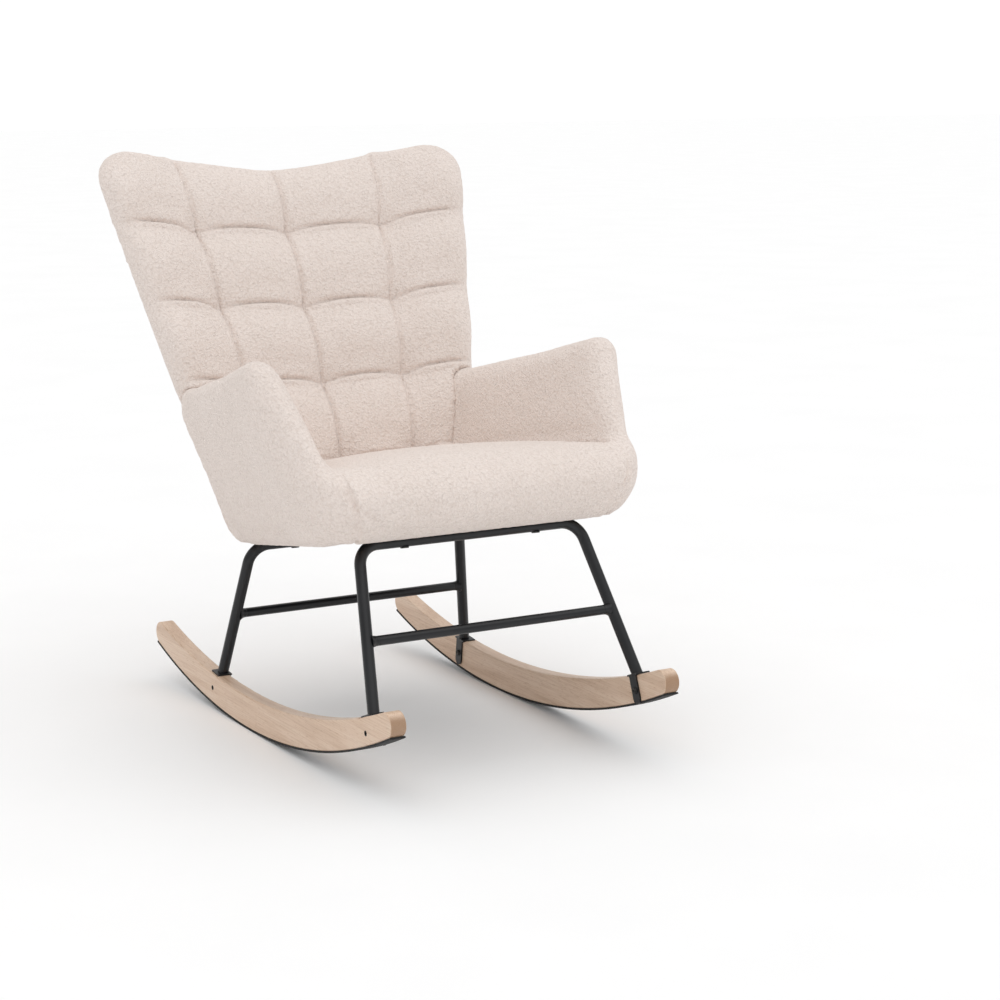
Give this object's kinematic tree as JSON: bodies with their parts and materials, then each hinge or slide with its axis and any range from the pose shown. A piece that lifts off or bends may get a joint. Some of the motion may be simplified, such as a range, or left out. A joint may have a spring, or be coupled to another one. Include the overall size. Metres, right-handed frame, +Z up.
{
  "type": "rocking chair",
  "caption": "Upholstered nursery rocking chair: tufted wing back, padded arms and seat on a bent steel tube base with curved wooden rockers.",
  "frame": {"origin": "on the floor under the middle of the chair's box, between the rockers", "axes": "+Z up, -Y is the way the sitter faces, +X to the right as seen from the front"},
  "size_m": [0.7296, 1.0138, 0.9666],
  "materials": {
    "rocker_wood": "pale beech with a satin lacquer",
    "strip_rubber": "matt black",
    "black_steel": "satin black powder coat",
    "bolt_steel": "blackened socket bolts and nuts",
    "frame_wood": "unfinished softwood and plywood, covered",
    "black_cloth": "woven webbing and thin dust cloth",
    "cream_boucle": "short looped pile over foam"
  },
  "bodies": {
    "root": {"left_rocker": "rocker_wood", "right_rocker": "rocker_wood", "left_rocker_strip": "strip_rubber", "right_rocker_strip": "strip_rubber", "front_leg_frame": "black_steel", "rear_leg_frame": "black_steel", "front_stretcher": "black_steel", "rear_stretcher": "black_steel", "left_front_bracket": "black_steel", "right_front_bracket": "black_steel", "left_rear_bracket": "black_steel", "right_rear_bracket": "black_steel", "rocker_bolts": "bolt_steel", "rocker_sleeve_nuts": "bolt_steel", "leg_frame_bolts": "bolt_steel", "leg_frame_tee_nuts": "bolt_steel", "seat_front_rail": "frame_wood", "seat_rear_rail": "frame_wood", "seat_left_rail": "frame_wood", "seat_right_rail": "frame_wood", "seat_corner_blocks": "frame_wood", "seat_webbing": "black_cloth", "seat_cross_webbing": "black_cloth", "dust_cover": "black_cloth", "seat_cushion": "cream_boucle", "left_arm_pad": "cream_boucle", "right_arm_pad": "cream_boucle", "left_arm_board": "frame_wood", "right_arm_board": "frame_wood", "arm_bolts": "bolt_steel", "arm_tee_nuts": "bolt_steel", "back_board": "frame_wood", "back_pad": "cream_boucle", "back_rear_cover": "cream_boucle", "back_bolts": "bolt_steel", "back_tee_nuts": "bolt_steel"}
  },
  "joints": []
}
